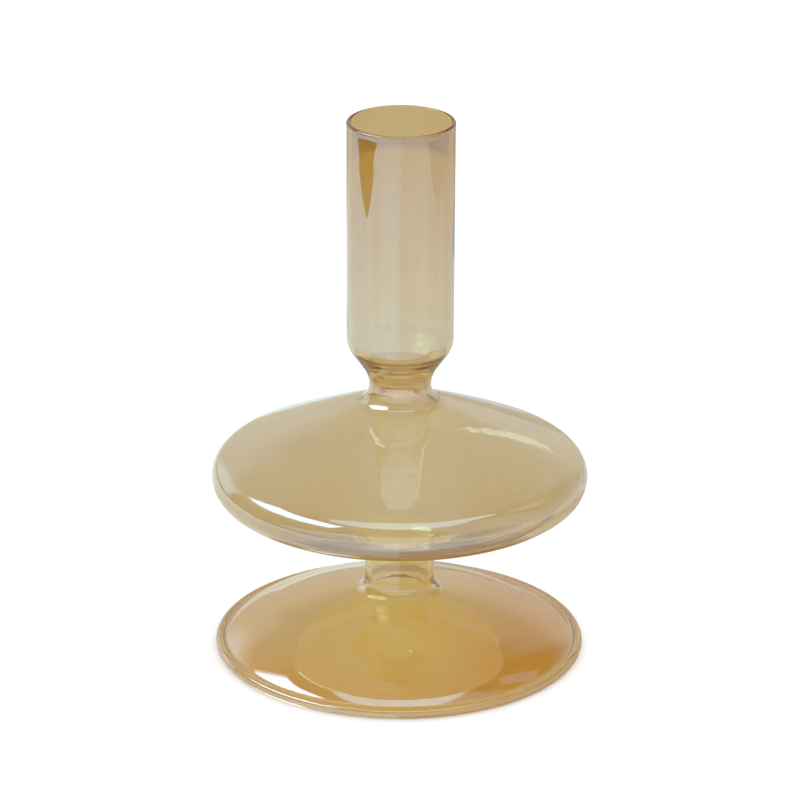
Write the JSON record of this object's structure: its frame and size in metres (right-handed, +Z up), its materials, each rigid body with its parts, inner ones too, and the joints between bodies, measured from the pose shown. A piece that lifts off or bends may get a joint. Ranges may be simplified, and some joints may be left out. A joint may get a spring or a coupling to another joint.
{
  "type": "glass candlestick",
  "caption": "Free-standing candlestick of thin amber lustre glass: an open tubular candle cup on a waisted neck, a flattened hollow bulb, a short stem and a domed foot.",
  "frame": {"origin": "centre of the ring under the foot's edge that the candlestick stands on", "axes": "+Z up along the axis of revolution, through the foot, stem, bulb, neck and candle cup; +X and +Y are alike"},
  "size_m": [0.102, 0.102, 0.15],
  "materials": {
    "cup_glass": "polished, pale amber lustre",
    "neck_glass": "polished, amber lustre, thicker and deeper in colour",
    "bulb_glass": "polished, pale amber lustre",
    "stem_glass": "polished, amber lustre",
    "foot_glass": "polished, golden amber lustre"
  },
  "bodies": {
    "root": {"candle_cup": "cup_glass", "upper_neck": "neck_glass", "bulb": "bulb_glass", "stem": "stem_glass", "foot": "foot_glass"}
  },
  "joints": []
}
